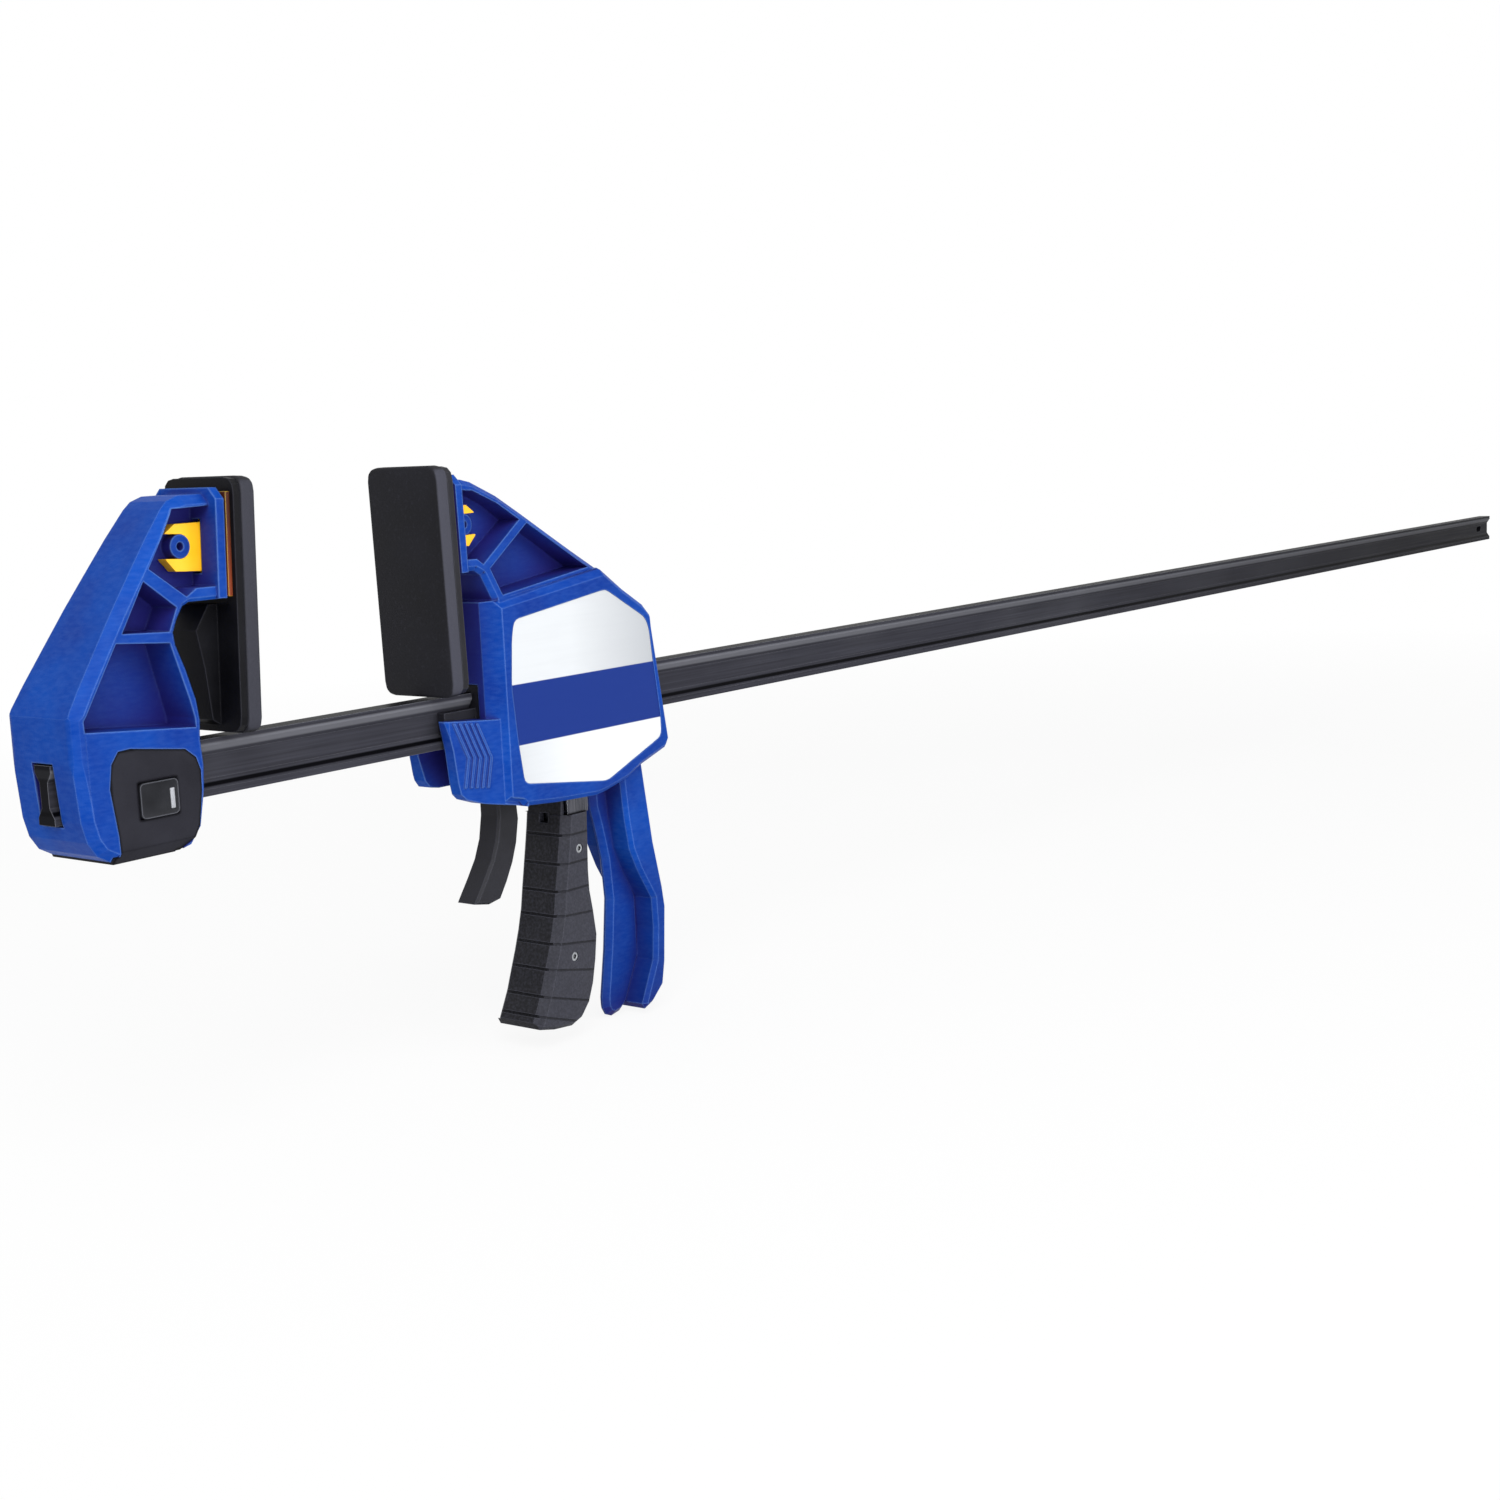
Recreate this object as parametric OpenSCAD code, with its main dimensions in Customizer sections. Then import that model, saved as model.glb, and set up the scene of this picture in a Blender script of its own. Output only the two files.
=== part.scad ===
// One-handed quick release bar clamp with a long steel I-section bar, a fixed
// jaw locked on one end and a trigger-driven jaw that slides along the bar.
// Millimetres. +X runs along the bar from the fixed jaw to the free end, +Z is
// up. The origin is on the bar's top face, under the foot of the fixed pad.

/* [Bar] */
// whole length of the steel bar
bar_length = 1497; // [700:1:1600]
// height of the bar's section
bar_height = 20.6; // [19.6:0.1:21]
// thickness across the bar's two flanges
bar_thick = 9; // [8.4:0.1:9.4]
// thickness of the bar's web
bar_web = 4.4; // [3.8:0.1:5]
// height of each flange's outer edge
flange_edge = 2.5; // [2:0.1:3]
// height over which a flange thins down to the web
flange_slope = 3.5; // [2.5:0.1:4]
// distance from a bar end to the middle of its lock slot
slot_inset = 23; // [21:0.5:24]
// length of each lock slot
slot_length = 12; // [9:0.5:13]
// height of each lock slot
slot_height = 5; // [4:0.1:6]

/* [Jaws] */
// distance between the feet of the two pads as drawn
opening = 95.7; // [12:0.1:600]
// width of both jaws across the bar
body_width = 39; // [38:0.1:41]
// width of both jaws at their tips
tip_width = 26.4; // [24:0.1:34]
// thickness of the middle web in each jaw
jaw_web = 6.8; // [5:0.1:7]
// distance the bar's near end stands back from the fixed pad's foot
heel = 78.3; // [78.1:0.1:79]

/* [Pads] */
// width of a pad across the bar
pad_width = 39.2; // [38:0.1:44]
// height of a pad
pad_height = 91.2; // [90:0.1:94]
// thickness of a pad with its backing
pad_thick = 9.4; // [8:0.1:9.6]
// thickness of the stiff backing alone
backing = 3; // [2:0.1:4]
// height of the pads' lower edge over the bar
pad_foot = 1.2; // [1:0.1:2]
// forward lean of the fixed pad
fixed_toe = 3; // [1:0.1:3.5]
// forward lean of the moving pad
moving_toe = 1.4; // [1:0.1:2]
// radius of the boss that a pad swivels on
boss_r = 4.2; // [3.6:0.1:4.6]

/* [Grip] */
// width of the trigger
trigger_width = 26; // [22:0.5:28]
// width of the trigger's flat front face
trigger_face = 19; // [14:0.5:20]
// width of the release lever
lever_width = 11.4; // [8:0.1:13]
// width of the handle's back
handle_width = 28; // [24:0.5:32]
// diameter of the trigger's pivot pin
pin_d = 6; // [5:0.1:7]

/* [Hidden] */
$fn = 72;
run = 0.05;
slip = 0.15;
half = body_width / 2;
tip = tip_width / 2;
web = jaw_web / 2;
taper_z = 17;
taper_top = 86;
bar_mid = -bar_height / 2;
bar_half = bar_thick / 2;
bar_far = bar_length - heel;
slot_x = slot_inset - heel;
far_slot_x = bar_far - slot_inset;
boss_back = 24.6;
boss_up = 66.6;
boss_out = 8.3;
hook_high = 8.7;
hook_in = web + 0.3;
hook_out = 8.1;
plate_front = -pad_thick - 2.8;
plate_back = plate_front - 3.6;
plate_low = boss_up - 18.2;
plate_high = boss_up + 20.4;
brace_top = plate_low - 2.4;
plate_half = 17.3;
carrier_thick = 1.8;
front_x = 24.5;
cavity_half = 15;
label_thick = 1.6;
pivot_x = 64;
pivot_z = 15;
brake_x = 41.5;
brake_z = 12;
brake_tilt = 4;
guide_half = 8.5;
guide_low = -bar_height - 3.6;
guide_high = 3.4;
grip_half = trigger_width / 2;
face_half = trigger_face / 2;
key_y = -0.3;
grip_top = -58;
button_x = [-55, -39.4];
button_z = [-21, -8.8];

// ---------- shared shapes ----------

// an outline with every corner rounded off from r before it to r after it
function eased(outline, r) = [
    for (i = [0:len(outline) - 1])
        let (
            n = len(outline), p = outline[i],
            before = outline[(i + n - 1) % n] - p, after = outline[(i + 1) % n] - p,
            u = p + unit(before) * min(r, 0.45 * norm(before)),
            v = p + unit(after) * min(r, 0.45 * norm(after))
        )
        for (t = [0, 0.33, 0.67, 1])
            (1 - t) * (1 - t) * u + 2 * t * (1 - t) * p + t * t * v
];

// a plate whose outline lies in XZ, from y0 to y1
module slab(outline, y0, y1) {
    translate([0, y1, 0])
        rotate([90, 0, 0])
            linear_extrude(y1 - y0)
                polygon(outline);
}

// a bar whose section lies in YZ, from x0 to x1
module run_along(x0, x1) {
    translate([x0, 0, 0])
        rotate([90, 0, 90])
            linear_extrude(x1 - x0)
                children();
}

module block(low, high) {
    translate(low)
        cube(high - low);
}

// a round bar or hole along Y
module cross_rod(x, z, r, y0, y1) {
    translate([x, y1, z])
        rotate([90, 0, 0])
            cylinder(h = y1 - y0, r = r);
}

// half the jaws' width at height z, straight up to taper_z and then narrowing
function half_at(z) =
    z < taper_z ? half : half - (z - taper_z) * (half - tip) / (taper_top - taper_z);

function unit(v) = v / norm(v);

// twice the area inside an outline, negative when it runs clockwise
function turn(o) = [
    for (i = 0, t = 0; i <= len(o);
        t = t + (i < len(o) ? cross(o[i], o[(i + 1) % len(o)]) : 0), i = i + 1) t
][len(o)];

// the wedge that bevels the edge from p to q, between faces whose outward
// directions are m and n, set back by a on the first and b on the second
module bevel(p, q, m, n, a, b) {
    d = unit(q - p);
    raw = m / a + n / b;
    o = unit(raw - (raw * d) * d);
    w = cross(d, o);
    depth = a * b / sqrt(a * a + b * b);
    multmatrix([
        [d[0], o[0], w[0], p[0]], [d[1], o[1], w[1], p[1]],
        [d[2], o[2], w[2], p[2]], [0, 0, 0, 1]
    ])
        block([-0.3, -depth, -1.4 * max(a, b)],
            [norm(q - p) + 0.3, max(a, b), 1.4 * max(a, b)]);
}

// bevels both faces of a slab all round its outline, or along an open run of it
module rims(outline, y, c, tapered = false, open = false) {
    sense = turn(outline) > 0 ? 1 : -1;
    lean = tapered ? (half - tip) / (taper_top - taper_z) : 0;
    for (side = [0, 1])
        mirror([0, side, 0])
            for (i = [0:len(outline) - (open ? 2 : 1)]) {
                p = outline[i];
                q = outline[(i + 1) % len(outline)];
                d = unit(q - p);
                high = tapered && min(p[1], q[1]) > taper_z - 1;
                bevel(
                    [p[0], tapered ? half_at(p[1]) : y, p[1]],
                    [q[0], tapered ? half_at(q[1]) : y, q[1]],
                    sense * [d[1], 0, -d[0]], unit([0, 1, high ? lean : 0]), c, c
                );
            }
}

// the bar's section, grown by c
module bar_section(c) {
    a = bar_half + c;
    b = bar_web / 2 + c;
    t = -flange_edge - 0.3 * c;
    s = t - flange_slope;
    h = bar_height;
    polygon([
        [a, c], [a, t], [b, s], [b, -h - s], [a, -h - t], [a, -h - c],
        [-a, -h - c], [-a, -h - t], [-b, -h - s], [-b, s], [-a, t], [-a, c]
    ]);
}

// a lock slot through the web, grown by c
module slot_shape(x, c, y0, y1) {
    r = slot_height / 2 + c;
    d = (slot_length - slot_height) / 2;
    cross_rod(x - d, bar_mid, r, y0, y1);
    cross_rod(x + d, bar_mid, r, y0, y1);
    block([x - d, y0, bar_mid - r], [x + d, y1, bar_mid + r]);
}

// a helical spring along Z
module coil(r, wire, length, turns) {
    sides = 8;
    steps = turns * 20;
    points = [
        for (i = [0:steps])
            for (j = [0:sides - 1])
                let (a = 360 * turns * i / steps, b = 360 * j / sides)
                [
                    (r + wire * cos(b)) * cos(a),
                    (r + wire * cos(b)) * sin(a),
                    wire + (length - 2 * wire) * i / steps + wire * sin(b)
                ]
    ];
    walls = [
        for (i = [0:steps - 1])
            for (j = [0:sides - 1])
                let (k = (j + 1) % sides, p = i * sides, q = p + sides)
                [p + j, q + j, q + k, p + k]
    ];
    first = [for (j = [0:sides - 1]) j];
    last = [for (j = [sides - 1:-1:0]) steps * sides + j];
    polyhedron(points, concat([first], walls, [last]), convexity = 8);
}

// moves a pad set from its own frame to each jaw
module on_fixed() {
    translate([0, 0, pad_foot])
        rotate([0, fixed_toe, 0])
            children();
}

module on_moving() {
    translate([opening, 0, pad_foot])
        rotate([0, -moving_toe, 0])
            mirror([1, 0, 0])
                children();
}

module on_carriage() {
    translate([opening, 0, 0])
        children();
}

// what the jaws taper to, seen along the bar
module jaw_taper(x0, x1) {
    run_along(x0, x1)
        polygon([
            [-half, -60], [-half, taper_z], [-tip, taper_top], [-tip, 92],
            [tip, 92], [tip, taper_top], [half, taper_z], [half, -60]
        ]);
}

// ---------- pad sets, drawn with the pad's face at x = 0 ----------

module pad_outline(grow) {
    w = pad_width / 2 + grow;
    high = pad_height + grow;
    polygon(eased([[-w, -grow], [w, -grow], [w, high], [-w, high]], 5.5));
}

module pad_shape() {
    run_along(-pad_thick + backing, 0)
        pad_outline(0);
}

module backing_shape() {
    run_along(-pad_thick, -pad_thick + backing)
        pad_outline(-0.6);
    slab([
        [-pad_thick, 3], [-pad_thick - 3.6, 5], [-pad_thick - 6.4, 24],
        [-pad_thick - 9.6, brace_top - 9], [-pad_thick - 4, brace_top],
        [-pad_thick, brace_top]
    ], -8, 8);
}

// the hooked carrier: a thin plate behind the pad and two hooks that pass
// through the jaw's front plate and clip round its boss
module carrier_shape() {
    block([-pad_thick - carrier_thick, -17, plate_low + 0.6],
        [-pad_thick, 17, plate_high - 1.4]);
    for (side = [0, 1])
        mirror([0, side, 0])
            hook_shape();
}

module hook_shape() {
    difference() {
        slab([
            [-pad_thick - carrier_thick, boss_up + hook_high],
            [-boss_back - 2, boss_up + hook_high - 1],
            [-boss_back - 6, boss_up + hook_high - 4],
            [-boss_back - 6, boss_up - hook_high + 4],
            [-boss_back - 2, boss_up - hook_high],
            [-pad_thick - carrier_thick, boss_up - hook_high]
        ], hook_in, hook_out);
        cross_rod(-boss_back, boss_up, boss_r + 0.1, hook_in - 1, hook_out + 1);
        block([-boss_back - 8, hook_in - 1, boss_up - boss_r - 0.1],
            [-boss_back, hook_out + 1, boss_up + boss_r + 0.1]);
    }
}

// the room round the hooks in a jaw, on both sides of its web
module hook_room() {
    for (side = [0, 1])
        mirror([0, side, 0])
            block([-boss_back - 7, hook_in - 0.1, boss_up - hook_high - 0.8],
                [plate_back + 0.2, hook_out + 0.4, boss_up + hook_high + 0.8]);
}

// the jaw's front plate that the hooks pass through
module front_plate() {
    difference() {
        run_along(plate_back, plate_front)
            polygon([
                [-plate_half, plate_low], [plate_half, plate_low],
                [plate_half, plate_high - 4], [plate_half - 4, plate_high],
                [4 - plate_half, plate_high], [-plate_half, plate_high - 4]
            ]);
        for (side = [0, 1])
            mirror([0, side, 0])
                block([plate_back - 1, web - 0.3, boss_up - hook_high - 0.8],
                    [plate_front + 1, hook_out + 0.4, boss_up + hook_high + 0.8]);
    }
}

module boss() {
    cross_rod(-boss_back, boss_up, boss_r, -boss_out, boss_out);
}

module boss_hole() {
    cross_rod(-boss_back, boss_up, 1.5, -boss_out - 1, boss_out + 1);
}

// ---------- bar ----------

module bar() {
    color("#3a3b3f")
        difference() {
            run_along(-heel, bar_far)
                bar_section(0);
            slot_shape(slot_x, 0, -5, 5);
            slot_shape(far_slot_x, 0, -5, 5);
        }
}

// ---------- fixed jaw ----------

jaw_outer = [
    [-10.4, 86.8], [-22, 86.6], [-26.8, 84.9], [-29.8, 82.2], [-37.9, 72.4],
    [-46.7, 60.9], [-55.4, 49.4], [-64, 37.3], [-72.4, 25.4], [-77, 18.4],
    [-78.2, 16], [-78.2, 1], [-76.6, -19], [-74.8, -26], [-71.5, -31],
    [-66.5, -33.8]
];
jaw_inner = [
    [-66.5, -33.8], [-60, -34.6], [-41, -34.8], [-34.4, -33.2],
    [-29.8, -27.5], [-27.2, -15.3], [-26.5, -6.5], [-27.1, 2.4], [-26.5, 9.3],
    [-27.4, 16.4], [-30, 27.2], [-32.9, 36.2], [-33.1, 40.3], [-31, 44.5],
    [-27.8, 48.9], [-25, 50.1], [-10.4, 50.1]
];
jaw_outline = concat(jaw_outer, [for (i = [1:len(jaw_inner) - 1]) jaw_inner[i]]);
lock_outline = [
    [-62, 3.3], [-57.1, 3.6], [-34.7, 0.3], [-30.4, -3.1], [-28.7, -8],
    [-29, -15], [-31, -27], [-33.4, -31], [-37, -33.4], [-40.5, -36],
    [-66.4, -36], [-64.2, -31], [-64.4, -25], [-66.4, -8.9], [-65, -0.7]
];

module jaw_solid() {
    intersection() {
        slab(jaw_outline, -half, half);
        jaw_taper(-90, 0);
        translate([0, 0, -60])
            linear_extrude(160)
                union() {
                    translate([-74, -half])
                        square([70, body_width]);
                    translate([-80, 5 - half])
                        square([20, body_width - 10]);
                    for (y = [5 - half, half - 5])
                        translate([-73.2, y])
                            circle(r = 5);
                }
    }
}

// pockets on one side of the fixed jaw's web
module jaw_pockets() {
    slab([
        [-26.6, 82.2], [-9, 82.8], [-9, 54.6], [-21.6, 54.6],
        [-26.2, 52], [-40.3, 62.6]
    ], web, half + 1);
    slab([[-43.2, 58.6], [-31, 48.8], [-35.3, 40.8], [-54.6, 41.9]],
        web, half + 1);
    slab([
        [-57.6, 38.9], [-35.8, 37], [-29.3, 10.4], [-29.2, 7.2], [-74, 11.2],
        [-74.2, 15]
    ], web, half + 1);
}

// the room for the lock's moving pieces, open to the underside
module lock_room(c) {
    block([slot_x - 9 - c, -12 - c, -40], [slot_x + 9 + c, 15 + c, bar_mid + 6]);
}

module fixed_jaw() {
    color("#2450b0")
        difference() {
            union() {
                difference() {
                    jaw_solid();
                    rims(jaw_outer, half, 3.2, true, true);
                    rims(jaw_inner, half, 1.3, true, true);
                    for (side = [0, 1])
                        mirror([0, side, 0])
                            jaw_pockets();
                    on_fixed()
                        hook_room();
                }
                on_fixed() {
                    front_plate();
                    boss();
                }
            }
            on_fixed()
                boss_hole();
            run_along(-90, 0)
                bar_section(slip);
            block([-90, -5.8, -bar_height - 0.6], [-heel + 7, 5.8, 0.6]);
            lock_room(0.2);
            cross_rod(slot_x + 1, bar_mid - 5, 3.6, 15, 17.5);
            block([button_x[0] - 0.3, -half - 1, button_z[0] - 0.3],
                [button_x[1] + 0.3, -8.6, button_z[1] + 0.3]);
            lock_seat(0.2);
        }
}

// the seat that the lock cover fills, grown by c
module lock_seat(c) {
    for (side = [0, 1])
        mirror([0, side, 0])
            slab([for (p = lock_outline) [p[0], p[1]]], half - 2.4 - c, half + 1);
    block([-66.4, -half - 1, -40], [-40.5, half + 1, -32.2 + c]);
}

module lock_cover() {
    color("#2c2c30")
        difference() {
            intersection() {
                union() {
                    for (side = [0, 1])
                        mirror([0, side, 0])
                            slab(lock_outline, half - 2.4, half);
                    block([-66.4, -half, -34.8], [-40.5, half, -32.2]);
                }
                run_along(-70, -20)
                    polygon([
                        [-half, -30.6], [-half + 2.6, -34.8], [half - 2.6, -34.8],
                        [half, -30.6], [half, 6], [-half, 6]
                    ]);
                block([-65.9, -half, -36], [-28.9, half, 3.2]);
            }
            block([button_x[0] - 0.3, -half - 1, button_z[0] - 0.3],
                [button_x[1] + 0.3, -10, button_z[1] + 0.3]);
        }
}

module lock_button() {
    color("#34343a")
        block([button_x[0], -half - 0.8, button_z[0]],
            [button_x[1], -12, button_z[1]]);
}

module lock_yoke() {
    color("#8c9096")
        difference() {
            block([slot_x - 8.5, -12, -bar_height - 6],
                [slot_x + 8.5, 12, bar_mid + 5]);
            block([slot_x - 9, -9.4, -bar_height - 3.4],
                [slot_x + 9, 9.4, bar_mid + 6]);
        }
}

module lock_key() {
    color("#b0b4ba")
        slot_shape(slot_x, -0.15, key_y, 9.4);
}

module lock_spring() {
    color("#c8ccd2")
        translate([slot_x + 1, 12, bar_mid - 5])
            rotate([-90, 0, 0])
                coil(2.6, 0.35, 5, 4);
}

module fixed_carrier() {
    color("#f0b020")
        on_fixed()
            carrier_shape();
}

module fixed_backing() {
    color("#202024")
        on_fixed()
            backing_shape();
}

module fixed_pad() {
    color("#2a2a2c")
        on_fixed()
            pad_shape();
}

// ---------- moving jaw ----------

block_outline = [
    [24.5, 37], [92, 46], [106.8, 35.6], [119.7, 27.8], [124.4, 23],
    [124.9, 17.5], [133.1, -33], [130.6, -36.8], [112.8, -42.3],
    [103.6, -46.6], [89.9, -49.8], [83.3, -50.8], [57.8, -49.7],
    [37.7, -48], [34.2, -44.6], [31, -38.6], [24.5, -37.4]
];
wedge_outline = [
    [12.4, 50.2], [20, 50.2], [23.5, 48.3], [28.5, 38], [28.5, 30],
    [92, 38], [93.6, 45.4], [79.1, 54], [65, 62.6], [51.4, 71],
    [38, 79], [24.3, 85.2], [19, 86.4], [12, 86.4]
];
corner_outline = [
    [26, -12], [39, -12], [39, -48.3], [38, -48.1], [33, -46.9], [28, -45.8],
    [26, -45.4]
];
label_outline = [
    [36.6, 29], [92.3, 36.5], [94.9, 36.2], [119.2, 22.4], [121.6, 17.4],
    [123.2, 2.6], [126.6, -22.7], [126.6, -31], [88.9, -45.3],
    [37.6, -38.6], [35.2, -21.7], [33.1, 2.4], [34.7, 21]
];
label_shape = eased(label_outline, 3);
handle_back = [
    [104, -40], [106.6, -66], [109, -80], [113.6, -90], [122.4, -104.6],
    [122.8, -118], [121.4, -132.8], [112.4, -151.2], [114, -153.8],
    [119.3, -151.8], [126.8, -145.4], [129.1, -134.4], [131.1, -109.4],
    [129.7, -99.8], [124.9, -78.4], [120.8, -50.5], [119, -38]
];
handle_web = [
    [97, -44], [97.6, -60], [100.6, -70.4], [103.8, -84.6], [105.2, -103],
    [102.6, -125.4], [98.9, -147], [99, -151.5], [101, -154.8],
    [104.5, -156.2], [110, -155.2], [114, -152], [124, -132], [124, -104],
    [114, -80], [112, -42]
];

module wedge_solid() {
    intersection() {
        slab(wedge_outline, -half, half);
        jaw_taper(0, 140);
    }
}

module block_plan() {
    translate([0, 0, -60])
        linear_extrude(160)
            polygon([
                [front_x, -12], [30, -half], [134, -half], [134, half],
                [30, half], [front_x, 12]
            ]);
}

module block_solid() {
    difference() {
        intersection() {
            slab(block_outline, -half, half);
            block_plan();
        }
        rims(block_outline, half, 2);
        for (side = [0, 1])
            mirror([0, side, 0])
                ledge_cut();
    }
    near_corner();
}

// the block's lower front corner on the near side, behind the deeper cheek
module near_corner() {
    difference() {
        intersection() {
            slab(corner_outline, -half, -6.7);
            block_plan();
        }
        rims([[28, -45.8], [33, -46.9], [38, -48.1]], half, 2, false, true);
    }
}

// the slanted step along the top of the label block
module ledge_cut() {
    translate([22, 0, 36.6])
        rotate([0, -atan2(9.4, 70), 0])
            run_along(-10, 90)
                polygon([[half - 2.9, 0], [half + 3, 0], [half + 3, -7.2]]);
}

// what the nose widens to, seen from above
module nose_plan(grow) {
    translate([0, 0, -60])
        linear_extrude(100)
            polygon([
                [3, -9.8 - grow], [4.4, -11.4 - grow], [29, -17 - grow],
                [38, -17 - grow], [38, 17 + grow], [29, 17 + grow],
                [6, 13 + grow], [3.4, 11.6 + grow], [2.6, 9 + grow], [2.6, 0], [3, 0]
            ]);
}

// two cheeks beside the bar; the near one is the deeper
module nose_solid() {
    intersection() {
        union() {
            slab([
                [3, -8.8], [27, -10.6], [38, -10.6], [38, -48], [33, -46.9], [24, -45.2],
                [18.7, -44.2], [10.4, -41.4], [8, -39], [7, -34.4], [5.6, -21]
            ], -19, -6.7);
            slab([
                [2.6, -8.8], [27, -10.6], [33, -10.6], [33, -38.4], [14, -38.2],
                [9.4, -37.4], [6.8, -34.4], [3.6, -24]
            ], 6.7, 19);
        }
        nose_plan(0);
    }
}

// five raised chevrons on each side of the nose
module chevrons() {
    intersection() {
        for (i = [0:4]) {
            x = 5.6 + 2.6 * i;
            z = -9.8 - 0.3 * i;
            slab([
                [x, z], [x + 1.1, z], [x + 6.9, z - 14.6], [x + 4.7, z - 26.6],
                [x + 3.6, z - 26.6], [x + 5.8, z - 14.6]
            ], -19, 19);
        }
        difference() {
            nose_plan(0.7);
            block([-5, -10, -70], [40, 10, 70]);
            block([-5, 9, -70], [40, 30, -34]);
        }
    }
}

// pockets on one side of the wedge's web
module wedge_pockets() {
    slab([
        [11, 82.8], [23.6, 81.8], [36.8, 76], [48.2, 69],
        [24.4, 52.4], [21, 54.8], [11, 54.8]
    ], web, half + 1);
    slab([
        [27.8, 50.4], [52.4, 67.4], [65, 59.8], [79, 51.2], [86.4, 46.8],
        [33.2, 39.4]
    ], web, half + 1);
}

module handle() {
    difference() {
        slab(handle_back, -handle_width / 2, handle_width / 2);
        rims(handle_back, handle_width / 2, 1.8);
    }
    difference() {
        slab(handle_web, -2.9, 2.9);
        rims(handle_web, 2.9, 2.5);
    }
}

module mechanism_room() {
    // brake chamber
    slab([[33, -60], [33, 18], [52.8, 20], [52.8, -60]], -12.5, 12.5);
    // trigger and drive chamber
    slab([
        [56, -34], [56, 24], [70, 27], [106, 27], [113, 22], [113, -38],
        [101, -43], [94, -45], [94, -60], [54, -60], [54, -34]
    ], -cavity_half, cavity_half);
}

module moving_jaw() {
    color("#2450b0")
        on_carriage()
            difference() {
                union() {
                    difference() {
                        wedge_solid();
                        rims(wedge_outline, half, 2, true);
                        for (side = [0, 1])
                            mirror([0, side, 0])
                                wedge_pockets();
                        translate([-opening, 0, 0])
                            on_moving()
                                hook_room();
                    }
                    block_solid();
                    nose_solid();
                    chevrons();
                    handle();
                    translate([-opening, 0, 0])
                        on_moving() {
                            front_plate();
                            boss();
                        }
                }
                translate([-opening, 0, 0])
                    on_moving()
                        boss_hole();
                mechanism_room();
                block([front_x - 1, -guide_half - run, guide_low - run],
                    [34, guide_half + run, guide_high + run]);
                block([52, -6.7, -bar_height - 0.5], [114, 6.7, 0.6]);
                block([112, -guide_half - run, guide_low - run],
                    [140, guide_half + run, guide_high + run]);
                cross_rod(pivot_x, pivot_z, pin_d / 2 + run, -30, 30);
                cross_rod(brake_x, brake_z, 2.05, -12.6, 12.6);
                for (side = [0, 1])
                    mirror([0, side, 0])
                        slab(label_shape, half - label_thick, half + 1);
            }
}

module label_near() {
    color("#e8ebee")
        on_carriage()
            mirror([0, 1, 0])
                slab(label_shape, half - label_thick + 0.1, half - 0.2);
}

module label_far() {
    color("#e8ebee")
        on_carriage()
            slab(label_shape, half - label_thick + 0.1, half - 0.2);
}

// black guide in the nose; its two shoes run in the bar's side grooves
module front_guide() {
    color("#1c1c1e")
        on_carriage()
            difference() {
                union() {
                    block([front_x + 0.4, -guide_half, guide_low],
                        [32.6, guide_half, guide_high]);
                    block([7, -6.3, bar_mid - 4.2],
                        [front_x + 1, 6.3, bar_mid + 4.2]);
                }
                run_along(-30, 60)
                    bar_section(0.1);
            }
}

module rear_guide() {
    color("#1c1c1e")
        on_carriage()
            difference() {
                block([113.2, -guide_half, guide_low], [127.6, guide_half, guide_high]);
                run_along(100, 140)
                    bar_section(0.1);
            }
}

module moving_carrier() {
    color("#f0b020")
        on_moving()
            carrier_shape();
}

module moving_backing() {
    color("#202024")
        on_moving()
            backing_shape();
}

module moving_pad() {
    color("#2a2a2c")
        on_moving()
            pad_shape();
}

// ---------- trigger, drive and brake ----------

module trigger_pin() {
    color("#b0b4ba")
        on_carriage()
            cross_rod(pivot_x, pivot_z, pin_d / 2, 0.1 + label_thick - half,
                half - label_thick - 0.1);
}

module trigger_arm() {
    color("#55585e")
        on_carriage()
            difference() {
                union() {
                    for (side = [0, 1])
                        mirror([0, side, 0]) {
                            cross_rod(pivot_x, pivot_z, 6.5, 5.4, 9);
                            slab([
                                [58, 14], [70, 14], [66.5, 0], [66, -18], [66, -32],
                                [58, -32], [57.6, -18], [58, 0]
                            ], 5.4, 9);
                            cross_rod(67, -22, 3, 5.4, 9);
                        }
                    block([58, -9, -33], [66, 9, -24]);
                    block([71, -11.5, grip_top], [84, 11.5, -47.5]);
                    slab([
                        [58, -30], [66, -30], [80, -46], [80, -56], [77, -70],
                        [76, -90], [74, -110], [68, -126], [62, -126], [66, -110],
                        [70, -90], [72, -72], [71, -50]
                    ], -5, 5);
                }
                cross_rod(pivot_x, pivot_z, pin_d / 2 + run, -10, 10);
            }
}

grip_front = [
    [68.4, -58], [67.4, -64.6], [65.8, -73.4], [64.2, -82], [62.6, -90.4],
    [61.1, -99], [58.8, -107.5], [55.9, -116], [52.8, -124], [49.8, -132],
    [44.2, -143.2]
];
grip_back = [
    [46, -146.4], [55, -148.4], [66, -149.4], [72.6, -147.2], [77.6, -141.8],
    [81, -133.6], [83.4, -123.4], [85, -112.6], [83.6, -101.4], [82, -92.4],
    [81.8, -83.4], [82.6, -66], [83, -58]
];

// the strip at the front of the grip that runs up past the steel arm
module grip_neck() {
    difference() {
        slab([
            [grip_front[0][0], grip_top - 3], [69.4, -51], [70.8, -51],
            [70.8, grip_top - 3]
        ], -face_half, face_half);
    }
}

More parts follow.
